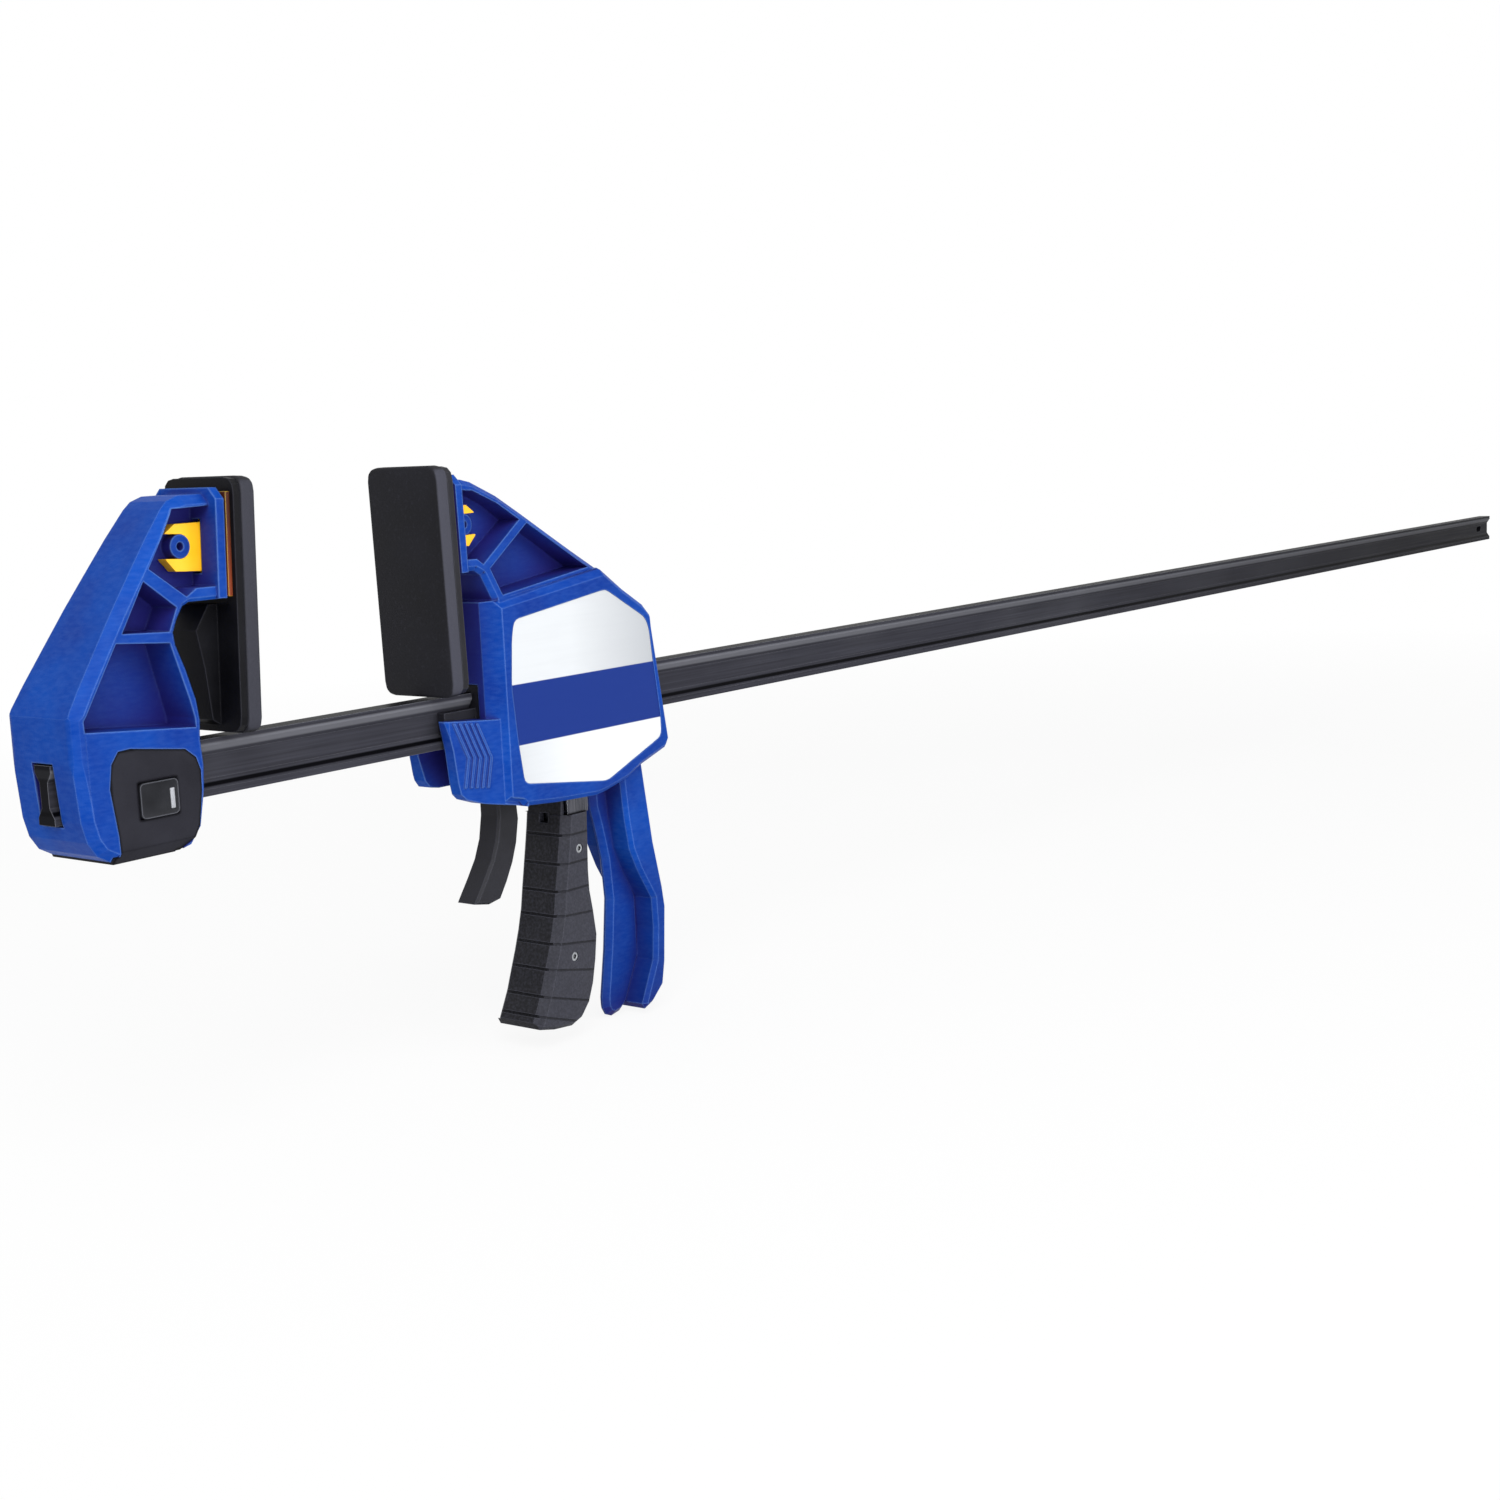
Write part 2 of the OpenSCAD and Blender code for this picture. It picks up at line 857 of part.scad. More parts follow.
// the wide bevel between the grip's front and its sides
module front_bevels() {
    for (side = [0, 1])
        mirror([0, side, 0])
            for (i = [0:len(grip_front) - 2]) {
                p = grip_front[i];
                q = grip_front[i + 1];
                d = unit(q - p);
                bevel([p[0], grip_half, p[1]], [q[0], grip_half, q[1]],
                    [d[1], 0, -d[0]], [0, 1, 0], 3.4, grip_half - face_half);
            }
}

module grip_solid() {
    difference() {
        slab(concat(grip_front, grip_back), -grip_half, grip_half);
        front_bevels();
        rims(concat([grip_front[len(grip_front) - 1]], grip_back), grip_half, 1.6,
            false, true);
    }
}

// the slot that takes the arm's tang
module tang_slot() {
    slab([
        [58, -30], [66, -30], [80.2, -46], [80.2, -56], [77.2, -70],
        [76.2, -90], [74.2, -110.2], [68.2, -126.2], [61.7, -126.2],
        [65.8, -110], [69.8, -90], [71.8, -72], [70.9, -50]
    ], -5.1, 5.1);
}

module trigger_grip() {
    color("#2a2a2e")
        on_carriage()
            difference() {
                union() {
                    grip_solid();
                    grip_neck();
                }
                tang_slot();
                block([60, -2.6, -61.6], [72, 2.6, -57.4]);
                block([70.9, -11.6, grip_top], [84.1, 11.6, -40]);
                for (s = screw_spots)
                    for (side = [0, 1])
                        mirror([0, side, 0]) {
                            cross_rod(s[0], s[1], 2.1, grip_half - 1.2, grip_half + 1);
                            cross_rod(s[0], s[1], 1.25, 4, grip_half);
                        }
                for (g = groove_spots)
                    translate([g[0], 0, g[1]])
                        rotate([0, g[2], 0])
                            block([-4, -20, -0.6], [0.9, 20, 0.6]);
            }
}

screw_spots = [[75.6, -73.2], [69, -119.4]];
groove_spots = [
    [67.1, -66.4, 0], [64.8, -78.6, 0], [62.7, -90.1, 0], [60.9, -100.4, 4],
    [57.6, -111.8, 8], [53.8, -122, 12], [49.7, -132.9, 16], [46.1, -140.6, 18]
];

module trigger_screws() {
    color("#c0c4c8")
        on_carriage()
            for (s = screw_spots)
                for (side = [0, 1])
                    mirror([0, side, 0])
                        difference() {
                            union() {
                                cross_rod(s[0], s[1], 2, grip_half - 1.1, grip_half - 0.3);
                                cross_rod(s[0], s[1], 1.2, 5.2, grip_half - 1);
                            }
                            cross_rod(s[0], s[1], 1, grip_half - 0.9, grip_half);
                        }
}

module drive_plates() {
    color("#8c9096")
        on_carriage()
            for (x = [70.1, 72.8])
                difference() {
                    block([x, -13.4, -bar_height - 5.4], [x + 2.5, 13.4, 5]);
                    block([x - 1, -bar_half - 0.2, -bar_height - 0.3],
                        [x + 4, bar_half + 0.2, 0.3]);
                }
}

module drive_spring() {
    color("#c8ccd2")
        on_carriage()
            translate([75.4, 0, bar_mid])
                rotate([0, 90, 0])
                    coil(12.6, 0.9, 37.5, 6);
}

module brake_plate() {
    color("#8c9096")
        on_carriage()
            translate([brake_x, 0, brake_z])
                rotate([0, brake_tilt, 0])
                    difference() {
                        union() {
                            block([-1.5, -11, -46], [1.5, 11, 0]);
                            cross_rod(0, 0, 2, -11, 11);
                        }
                        block([-3, -bar_half - 0.5, -bar_height - brake_z - 0.8],
                            [3, bar_half + 0.5, 0.6 - brake_z]);
                    }
}

module brake_spring() {
    color("#c8ccd2")
        on_carriage()
            translate([41, 0, -25.6])
                rotate([0, 90, 0])
                    coil(3.2, 0.4, 11.8, 5);
}

lever_outline = [
    [34, -32], [45, -32], [46.6, -46], [47.4, -55.6], [45.4, -65.6],
    [42.4, -73.6], [38.2, -81.2], [34, -87.4], [27, -88.6],
    [18.6, -87], [20.2, -84.7], [25, -78.1], [30, -70.6],
    [33.3, -62.8], [35.2, -53], [35.2, -46]
];

module release_lever() {
    color("#26262a")
        on_carriage()
            difference() {
                slab(lever_outline, -lever_width / 2, lever_width / 2);
                rims(lever_outline, lever_width / 2, 1);
                translate([brake_x, 0, brake_z])
                    rotate([0, brake_tilt, 0])
                        block([-1.55, -11.05, -46.05], [1.55, 11.05, -20]);
            }
}

// ---------- assembly ----------

bar();
fixed_jaw();
lock_cover();
lock_button();
lock_yoke();
lock_key();
lock_spring();
fixed_carrier();
fixed_backing();
fixed_pad();
moving_jaw();
label_near();
label_far();
front_guide();
rear_guide();
moving_carrier();
moving_backing();
moving_pad();
trigger_pin();
trigger_arm();
trigger_grip();
trigger_screws();
drive_plates();
drive_spring();
brake_plate();
brake_spring();
release_lever();
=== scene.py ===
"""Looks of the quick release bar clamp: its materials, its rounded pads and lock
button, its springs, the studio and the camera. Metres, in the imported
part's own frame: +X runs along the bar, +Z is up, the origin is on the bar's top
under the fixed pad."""
import math

import bmesh
import bpy
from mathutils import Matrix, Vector


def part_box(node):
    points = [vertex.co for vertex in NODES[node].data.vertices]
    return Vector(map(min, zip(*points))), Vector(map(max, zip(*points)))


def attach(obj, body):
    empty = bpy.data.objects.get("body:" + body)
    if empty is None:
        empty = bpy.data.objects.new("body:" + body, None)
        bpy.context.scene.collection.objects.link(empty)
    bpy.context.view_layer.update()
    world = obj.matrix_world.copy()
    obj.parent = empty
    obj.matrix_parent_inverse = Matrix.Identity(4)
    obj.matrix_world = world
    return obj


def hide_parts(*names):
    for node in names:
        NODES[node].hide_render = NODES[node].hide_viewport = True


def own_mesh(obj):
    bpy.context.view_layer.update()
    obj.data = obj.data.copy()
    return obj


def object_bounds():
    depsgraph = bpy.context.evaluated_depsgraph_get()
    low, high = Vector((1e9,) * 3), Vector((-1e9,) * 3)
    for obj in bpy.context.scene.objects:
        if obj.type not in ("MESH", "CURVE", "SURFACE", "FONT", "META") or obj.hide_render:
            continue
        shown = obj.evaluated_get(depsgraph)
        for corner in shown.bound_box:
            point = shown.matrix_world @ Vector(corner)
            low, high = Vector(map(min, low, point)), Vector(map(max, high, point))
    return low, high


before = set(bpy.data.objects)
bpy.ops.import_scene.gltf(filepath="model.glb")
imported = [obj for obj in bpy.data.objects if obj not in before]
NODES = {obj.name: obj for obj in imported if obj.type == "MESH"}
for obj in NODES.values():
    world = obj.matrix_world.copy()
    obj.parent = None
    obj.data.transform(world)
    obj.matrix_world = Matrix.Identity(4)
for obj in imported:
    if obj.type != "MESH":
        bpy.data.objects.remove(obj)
CAD_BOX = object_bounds()
MM = 0.001

# ---------- colours as they look, 0 to 255 ----------

BLUE = (4, 66, 158)
# pale tone for the flow marks and for the painted highlight along edges
BLUE_PALE_AND_HIGHLIGHT = (112, 152, 216)
BLUE_DEEP = (3, 49, 136)
# painted shade in pockets
BLUE_PAINTED_POCKET_SHADE = (38, 30, 104)
# painted shade on the sides and on the handle's lower part
BLUE_PAINTED_SHADE = (16, 22, 78)
BLACK = (20, 20, 25)
# pale tone for the grain and for the painted highlight along edges
BLACK_PALE_AND_HIGHLIGHT = (84, 85, 96)
COVER = (33, 33, 39)
# painted shadow ring round the let-in lock cover
COVER_PAINTED_RIM_SHADOW = (3, 3, 5)
# the fixed backing's black, darkened as painted shade
BACKING_IN_PAINTED_SHADE = (9, 9, 12)
# pale tone for the grain and for the painted highlight along edges
BACKING_PALE_AND_HIGHLIGHT = (60, 61, 70)
LEVER = (24, 24, 29)
BUTTON = (14, 15, 19)
# pale tone for the grain and for the painted highlight along the button's edges
BUTTON_PALE_AND_HIGHLIGHT = (128, 130, 140)
# a pale bar's tone, as a painted highlight on the lock button
HIGHLIGHT_BAR = (150, 152, 158)
# the pale bar's edges, a painted highlight
HIGHLIGHT_BAR_EDGE = (200, 202, 208)
RUBBER = (20, 20, 24)
# pale tone for dust and grain, for the painted light on the sides and for the painted highlight
# along edges
RUBBER_DUST_AND_HIGHLIGHT = (76, 77, 89)
YELLOW = (255, 184, 4)
# pale tone for the grain and for the painted highlight along edges
YELLOW_PALE_AND_HIGHLIGHT = (255, 212, 60)
# painted shade on the carrier plate's edges, in orange-brown
ORANGE_PAINTED_SHADE = (122, 52, 26)
# the deeper painted shade higher up the plate
ORANGE_PAINTED_DEEP_SHADE = (40, 22, 18)
STEEL_DARK = (40, 40, 46)
# painted shade, and the colour of the grip's fine groove lines
STEEL_PAINTED_SHADE_AND_LINES = (12, 12, 15)
# painted shadow in the bar's lower groove
STEEL_PAINTED_GROOVE_SHADOW = (2, 2, 4)
# pale tone for grain and clouds, and for the painted highlight on the bar's upper lip and along
# edges
STEEL_PALE_AND_HIGHLIGHT = (120, 121, 128)
STEEL_BRIGHT = (176, 179, 184)
STEEL_DULL = (64, 65, 72)
SILVER = (198, 201, 204)
# grey of the painted reflection, and of the brushed grain
SILVER_PAINTED_SHADE_AND_GRAIN = (160, 163, 168)
# the paler lower part of the label's painted reflection
SILVER_PAINTED_LIGHT = (210, 213, 216)
BAND = (6, 40, 116)


def linear(tone):
    """A colour written 0 to 255 as the eye sees it, as linear RGBA."""
    parts = [c / 255 for c in tone]
    return [c / 12.92 if c <= 0.04045 else ((c + 0.055) / 1.055) ** 2.4 for c in parts] + [1.0]


# the grip's front grooves: where each one runs in XZ, in mm, and its lean in degrees
GRIP_GROOVES = (
    (162.8, -66.4, 0), (160.5, -78.6, 0), (158.4, -90.1, 0), (156.6, -100.4, 4),
    (153.3, -111.8, 8), (149.5, -122, 12), (145.4, -132.9, 16), (141.8, -140.6, 18),
)

# each spring's node and body, the joint that shortens it, its axis, and the share
# of its length that is left when that joint is at its far limit
SPRINGS = (
    ("lock_spring", "bar_and_fixed_jaw", "lock_press", (0, 1, 0), 0.38),
    ("drive_spring", "sliding_jaw", "drive_push", (1, 0, 0), 0.84),
    ("brake_spring", "sliding_jaw", "release_pull", (1, 0, 0), 0.68),
)


# ---------- building materials ----------

class Graph:
    """A node tree that is built up in a few plain steps."""

    def __init__(self, tree):
        self.tree = tree

    def node(self, kind, settings=(), **inputs):
        """A node with its settings made and its named inputs fed."""
        made = self.tree.nodes.new("ShaderNode" + kind)
        for key, value in dict(settings).items():
            setattr(made, key, value)
        for key, value in inputs.items():
            self.feed(made.inputs[key.replace("_", " ")], value)
        return made

    def feed(self, socket, value):
        """Links another node's output to the socket, or sets its constant."""
        if isinstance(value, bpy.types.NodeSocket):
            self.tree.links.new(value, socket)
        else:
            socket.default_value = value

    def math(self, operation, a, b=0.0):
        """One operation on two numbers, each a constant or another node's output."""
        made = self.node("Math", {"operation": operation})
        self.feed(made.inputs[0], a)
        self.feed(made.inputs[1], b)
        return made.outputs[0]

    def vector_math(self, operation, a, b):
        """The number that an operation makes of two vectors."""
        made = self.node("VectorMath", {"operation": operation})
        self.feed(made.inputs[0], a)
        self.feed(made.inputs[1], b)
        return made.outputs["Value"]

    def remap(self, value, low, high, new_low, new_high):
        """A value between low and high, laid out between two new ends and held there."""
        made = self.node("MapRange", {"clamp": True}, Value=value, From_Min=low,
                         From_Max=high, To_Min=new_low, To_Max=new_high)
        return made.outputs["Result"]


class Recipe(Graph):
    """A principled material that is built up in a few plain steps."""

    def __init__(self, name, specular=0.5, metallic=0.0):
        self.material = bpy.data.materials.new(name)
        self.material.use_nodes = True
        super().__init__(self.material.node_tree)
        self.shader = self.tree.nodes["Principled BSDF"]
        self.shader.inputs["Specular IOR Level"].default_value = specular
        self.shader.inputs["Metallic"].default_value = metallic
        self.place = self.node("TexCoord").outputs["Object"]

    def noise(self, per_metre, detail=3.0, stretch=(1, 1, 1)):
        """Clouds in the frame's own metres, drawn out along an axis by a small stretch."""
        where = self.node("Mapping", Vector=self.place, Scale=stretch)
        made = self.node("TexNoise", Vector=where.outputs[0], Scale=per_metre, Detail=detail)
        return made.outputs["Fac"]

    def mix(self, share, a, b):
        """Two colours mixed by a share. A Mix node's colours go in at 6 and 7, out at 2."""
        made = self.node("Mix", {"data_type": "RGBA"})
        self.feed(made.inputs[0], share)
        self.feed(made.inputs[6], a if isinstance(a, bpy.types.NodeSocket) else linear(a))
        self.feed(made.inputs[7], b if isinstance(b, bpy.types.NodeSocket) else linear(b))
        return made.outputs[2]

    def coordinate(self, axis):
        """How far along an axis of the frame a point is, in metres."""
        return self.node("SeparateXYZ", Vector=self.place).outputs[axis]

    def facing(self, axis):
        """The surface normal's part along an axis, from -1 to 1."""
        flat = self.node("NewGeometry").outputs["Normal"]
        return self.node("SeparateXYZ", Vector=flat).outputs[axis]

    def openness(self, reach):
        """0 deep in a pocket, 1 where nothing stands within reach."""
        return self.node("AmbientOcclusion", {"samples": 8}, Distance=reach).outputs["AO"]

    def round_off(self, radius, samples=6):
        self.rounded = self.node("Bevel", {"samples": samples}, Radius=radius).outputs[0]

    # the edge mask that paints a highlight along outer edges, or a shadow ring round a let-in
    # cover
    def edges(self, radius, share):
        """How near a point is to an outer edge, from 0 to share."""
        self.round_off(radius)
        flat = self.node("NewGeometry").outputs["Normal"]
        agreement = self.vector_math("DOT_PRODUCT", self.rounded, flat)
        outer = self.remap(self.openness(radius * 1.5), 0.6, 0.9, 0.0, share)
        return self.math("MULTIPLY", outer, self.remap(agreement, 0.99, 0.86, 0.0, 1.0))

    def finish(self, colour, rough, rough_wear, grain, depth):
        """Colour, a roughness that wanders between two values, and a fine raised grain."""
        self.feed(self.shader.inputs["Base Color"], colour)
        self.feed(self.shader.inputs["Roughness"], self.remap(rough_wear, 0.3, 0.7, *rough))
        bump = self.node("Bump", Height=grain, Normal=self.rounded, Strength=1.0, Distance=depth)
        self.feed(self.shader.inputs["Normal"], bump.outputs[0])
        return self.material


def blue_plastic():
    """Glass-filled nylon: a fine matt grain and faint pale flow marks; painted shade in its
    pockets, on its sides and down the handle towards its foot; a painted highlight along its
    edges."""
    pocket_shade_reach, handle_top, handle_foot = 26 * MM, -70 * MM, -150 * MM
    r = Recipe("blue_plastic", specular=0.06)
    clouds = r.noise(38, 4.0)
    body = r.mix(r.remap(clouds, 0.3, 0.7, 0.0, 1.0), BLUE_DEEP, BLUE)
    flow = r.noise(260, 2.0, (1, 1, 3))
    body = r.mix(r.remap(flow, 0.35, 0.75, 0.0, 0.06), body, BLUE_PALE_AND_HIGHLIGHT)
    # painted shade: darker in pockets and where walls stand close
    body = r.mix(r.remap(r.openness(pocket_shade_reach), 0.3, 0.8, 0.9, 0.0), body, BLUE_PAINTED_POCKET_SHADE)
    # painted shade: darker down the handle towards its foot
    lower = r.remap(r.coordinate("Z"), handle_top, handle_foot, 0.0, 0.4)
    body = r.mix(lower, body, BLUE_PAINTED_SHADE)
    # painted shade: the sides that face along Y are darker
    side = r.math("ABSOLUTE", r.facing("Y"))
    body = r.mix(r.remap(side, 0.8, 0.95, 0.0, 0.2), body, BLUE_PAINTED_SHADE)
    # painted highlight: a pale line along the outer edges
    pale_and_highlight = r.mix(r.edges(1.1 * MM, 0.42), body, BLUE_PALE_AND_HIGHLIGHT)
    return r.finish(pale_and_highlight, (0.36, 0.5), clouds, r.noise(1500, 2.0), 0.05 * MM)


def black_plastic(name="black_plastic", tone=BLACK, pale_and_highlight=BLACK_PALE_AND_HIGHLIGHT, specular=0.16, rim=None):
    """Matt black moulding with a painted edge highlight, or a painted shadow ring where it is let
    in.
    """
    r = Recipe(name, specular=specular)
    clouds = r.noise(55, 4.0)
    body = r.mix(r.remap(clouds, 0.3, 0.75, 0.0, 0.1), tone, pale_and_highlight)
    if rim:
        # painted shadow: a dark ring along the edges where the piece is let in
        with_painted_edges = r.mix(r.edges(1.9 * MM, 1.0), body, rim)
    else:
        # painted highlight: a pale line along the outer edges
        with_painted_edges = r.mix(r.edges(0.8 * MM, 0.45), body, pale_and_highlight)
    return r.finish(with_painted_edges, (0.38, 0.55), clouds, r.noise(1300, 2.0), 0.05 * MM)


def soft_rubber(name, side_light_share):
    """Soft moulded rubber with a fine spark-eroded texture and a little dust, sides painted
    paler as painted light, and a painted highlight along its edges.
    """
    r = Recipe(name, specular=0.14)
    clouds = r.noise(30, 5.0)
    dust = r.noise(700, 3.0)
    body = r.mix(r.remap(clouds, 0.35, 0.75, 0.0, 0.1), RUBBER, RUBBER_DUST_AND_HIGHLIGHT)
    body = r.mix(r.remap(dust, 0.55, 0.8, 0.0, 0.1), body, RUBBER_DUST_AND_HIGHLIGHT)
    # painted light: the sides that face along Y are painted paler
    rim = r.math("ABSOLUTE", r.facing("Y"))
    body = r.mix(r.remap(rim, 0.5, 0.85, 0.0, side_light_share), body, RUBBER_DUST_AND_HIGHLIGHT)
    # painted highlight: a pale line along the edges
    with_painted_edges = r.mix(r.edges(1.0 * MM, 0.4), body, RUBBER_DUST_AND_HIGHLIGHT)
    return r.finish(with_painted_edges, (0.55, 0.75), clouds, r.noise(1900, 3.0), 0.12 * MM)


def grip_rubber():
    """The grip's overmould: coarser than the pads, its front grooves carried on
    as fine lines across both sides; its sides painted paler as painted light, and a
    painted highlight along its edges."""
    r = Recipe("grip_rubber", specular=0.16)
    clouds = r.noise(60, 4.0)
    speck = r.noise(900, 3.0)
    nearest = 1.0
    for x, z, lean in GRIP_GROOVES:
        across = Vector((math.sin(math.radians(lean)), 0, math.cos(math.radians(lean))))
        groove = across.dot(Vector((x * MM, 0, z * MM)))
        away = r.math("SUBTRACT", r.vector_math("DOT_PRODUCT", r.place, across), groove)
        nearest = r.math("MINIMUM", nearest, r.math("ABSOLUTE", away))
    line = r.remap(nearest, 0.2 * MM, 0.55 * MM, 1.0, 0.0)
    side = r.remap(r.math("ABSOLUTE", r.facing("Y")), 0.4, 0.8, 0.0, 1.0)
    line = r.math("MULTIPLY", line, side)
    body = r.mix(r.remap(speck, 0.4, 0.75, 0.0, 0.25), RUBBER, RUBBER_DUST_AND_HIGHLIGHT)
    # painted light: the sides that face along Y are painted paler
    body = r.mix(r.math("MULTIPLY", side, 0.3), body, RUBBER_DUST_AND_HIGHLIGHT)
    body = r.mix(r.math("MULTIPLY", line, 0.7), body, STEEL_PAINTED_SHADE_AND_LINES)
    # painted highlight: a pale line along the edges
    with_painted_edges = r.mix(r.edges(0.7 * MM, 0.6), body, BLACK_PALE_AND_HIGHLIGHT)
    height = r.math("SUBTRACT", speck, r.math("MULTIPLY", line, 2.0))
    return r.finish(with_painted_edges, (0.5, 0.7), clouds, height, 0.2 * MM)


def yellow_plastic():
    """Yellow carrier with a painted highlight along its edges; the thin plate's two edges
    are painted orange-brown as painted shade, darker upwards."""
    edge_from, edge_to = 9 * MM, 12 * MM
    strip_foot, strip_top = 56 * MM, 78 * MM
    r = Recipe("yellow_plastic", specular=0.4)
    clouds = r.noise(70, 3.0)
    aside = r.math("ABSOLUTE", r.coordinate("Y"))
    body = r.mix(r.remap(clouds, 0.3, 0.7, 0.0, 0.35), YELLOW, YELLOW_PALE_AND_HIGHLIGHT)
    # painted shade: darker upwards on the plate's edges
    raised = r.remap(r.coordinate("Z"), strip_foot, strip_top, 0.0, 0.8)
    shaded_strip = r.mix(raised, ORANGE_PAINTED_SHADE, ORANGE_PAINTED_DEEP_SHADE)
    # painted shade: the plate's outer edges in orange-brown
    body = r.mix(r.remap(aside, edge_from, edge_to, 0.0, 1.0), body, shaded_strip)
    # painted highlight: a pale line along the edges
    with_painted_edges = r.mix(r.edges(0.5 * MM, 0.4), body, YELLOW_PALE_AND_HIGHLIGHT)
    return r.finish(with_painted_edges, (0.35, 0.5), clouds, r.noise(1400, 2.0), 0.04 * MM)


def bar_steel():
    """Rolled bar with a dark oxide finish, drawn lengthwise, with painted light: painted shade
    on its top, its end faces and towards its far end, a painted highlight as a pale band
    along the upper lip and along its edges, and a painted shadow as a black line in the
    lower groove."""
    lip_top, lip_foot, lip_fade = -1.6 * MM, -4.6 * MM, 0.4 * MM
    groove = -16.6 * MM
    r = Recipe("bar_steel", specular=0.03)
    r.shader.inputs["IOR"].default_value = 1.35
    drawn = r.noise(900, 4.0, (0.012, 1, 1))
    clouds = r.noise(22, 4.0, (0.4, 1, 1))
    body = r.mix(r.remap(drawn, 0.3, 0.7, 0.0, 0.22), STEEL_DARK, BLACK_PALE_AND_HIGHLIGHT)
    body = r.mix(r.remap(clouds, 0.45, 0.8, 0.0, 0.1), body, STEEL_PALE_AND_HIGHLIGHT)
    upwards = r.facing("Z")
    along, height = r.coordinate("X"), r.coordinate("Z")
    # painted shade: darker towards the bar's far end
    body = r.mix(r.remap(along, 0.5, 1.2, 0.0, 0.75), body, STEEL_PAINTED_SHADE_AND_LINES)
    # painted highlight: a pale band along the upper lip, fading along the bar
    lip = r.math("MULTIPLY", r.remap(height, lip_top + lip_fade, lip_top - lip_fade, 0.0, 1.0),
                 r.remap(height, lip_foot - lip_fade, lip_foot + lip_fade, 0.0, 1.0))
    lip = r.math("MULTIPLY", lip, r.remap(along, 0.25, 1.1, 0.55, 0.3))
    body = r.mix(lip, body, STEEL_PALE_AND_HIGHLIGHT)
    # painted shade: the top face darker
    body = r.mix(r.remap(upwards, 0.8, 0.95, 0.0, 0.9), body, STEEL_PAINTED_SHADE_AND_LINES)
    # painted shadow: a black line along the lower groove
    line = r.math("ABSOLUTE", r.math("SUBTRACT", height, groove))
    body = r.mix(r.remap(line, 0.5 * MM, 1.0 * MM, 0.96, 0.0), body, STEEL_PAINTED_GROOVE_SHADOW)
    # painted shade: the end faces darker
    body = r.mix(r.remap(r.math("ABSOLUTE", r.facing("X")), 0.6, 0.9, 0.0, 0.9), body, STEEL_PAINTED_SHADE_AND_LINES)
    # painted highlight: a pale line along the edges
    with_painted_edges = r.mix(r.edges(0.5 * MM, 0.6), body, STEEL_PALE_AND_HIGHLIGHT)
    return r.finish(with_painted_edges, (0.32, 0.5), drawn, drawn, 0.03 * MM)


def bright_steel(name="bright_steel", tone=STEEL_BRIGHT):
    """Ground steel, with painted shade between close neighbours such as a spring's turns
    and a painted highlight along its edges.
    """
    r = Recipe(name, specular=0.5, metallic=1.0)
    ground = r.noise(1200, 3.0, (1, 1, 0.05))
    body = r.mix(r.remap(ground, 0.3, 0.7, 0.0, 0.5), tone, STEEL_PALE_AND_HIGHLIGHT)
    # painted shade: darker between close neighbours
    body = r.mix(r.remap(r.openness(1.6 * MM), 0.55, 0.85, 0.9, 0.0), body, STEEL_PAINTED_SHADE_AND_LINES)
    # painted highlight: a silver line along the edges
    with_painted_edges = r.mix(r.edges(0.3 * MM, 0.4), body, SILVER)
    return r.finish(with_painted_edges, (0.22, 0.4), ground, ground, 0.02 * MM)


def label_plate():
    """Satin silver plate with a plain blue band across it, where print would be, and a
    painted reflection: paler below the band, greyer to the rear above it and to the front below
    it.
    """
    band_low, band_high, soft = -22.5 * MM, 2.6 * MM, 0.15 * MM
    low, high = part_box("label_near")
    r = Recipe("label_plate", specular=0.15)
    height, along = r.coordinate("Z"), r.coordinate("X")
    brushed = r.noise(700, 2.0, (0.05, 1, 1))
    middle = low.x + (high.x - low.x) * 0.4
    # painted reflection: paler below the band, greyer towards the rear above it and towards the
    # front below it
    to_rear = r.remap(along, middle, high.x, 0.0, 0.9)
    to_front = r.remap(along, low.x, middle, 0.45, 0.0)
    upper = r.remap(height, band_low, band_high, 0.0, 1.0)
    plate = r.mix(upper, SILVER_PAINTED_LIGHT, SILVER)
    plate = r.mix(r.math("MULTIPLY", to_rear, upper), plate, SILVER_PAINTED_SHADE_AND_GRAIN)
    plate = r.mix(r.math("MULTIPLY", to_front, r.math("SUBTRACT", 1.0, upper)), plate, SILVER_PAINTED_SHADE_AND_GRAIN)
    plate = r.mix(r.remap(brushed, 0.4, 0.7, 0.0, 0.05), plate, SILVER_PAINTED_SHADE_AND_GRAIN)
    above = r.remap(height, band_low - soft, band_low + soft, 0.0, 1.0)
    below = r.remap(height, band_high - soft, band_high + soft, 1.0, 0.0)
    face = r.mix(r.math("MULTIPLY", above, below), plate, BAND)
    r.round_off(0.3 * MM, samples=4)
    return r.finish(face, (0.36, 0.44), brushed, brushed, 0.003 * MM)


# ---------- pieces in mesh code ----------

def solid_of(node):
    """A clean bmesh of a CAD node: corners joined and flat faces whole again."""
    made = bmesh.new()
    made.from_mesh(NODES[node].data)
    bmesh.ops.remove_doubles(made, verts=made.verts, dist=1e-6)
    bmesh.ops.dissolve_limit(
        made, angle_limit=math.radians(0.6), verts=made.verts, edges=made.edges)
    return made


def add_piece(made, name, body, material):
    """The bmesh as a piece of the part that rides on a body."""
    mesh = bpy.data.meshes.new(name)
    made.to_mesh(mesh)
    made.free()
    piece = bpy.data.objects.new(name, mesh)
    bpy.context.scene.collection.objects.link(piece)
    mesh.materials.append(material)
    for face in mesh.polygons:
        face.use_smooth = True
    mesh.set_sharp_from_angle(angle=math.radians(32))
    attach(piece, body)
    return piece


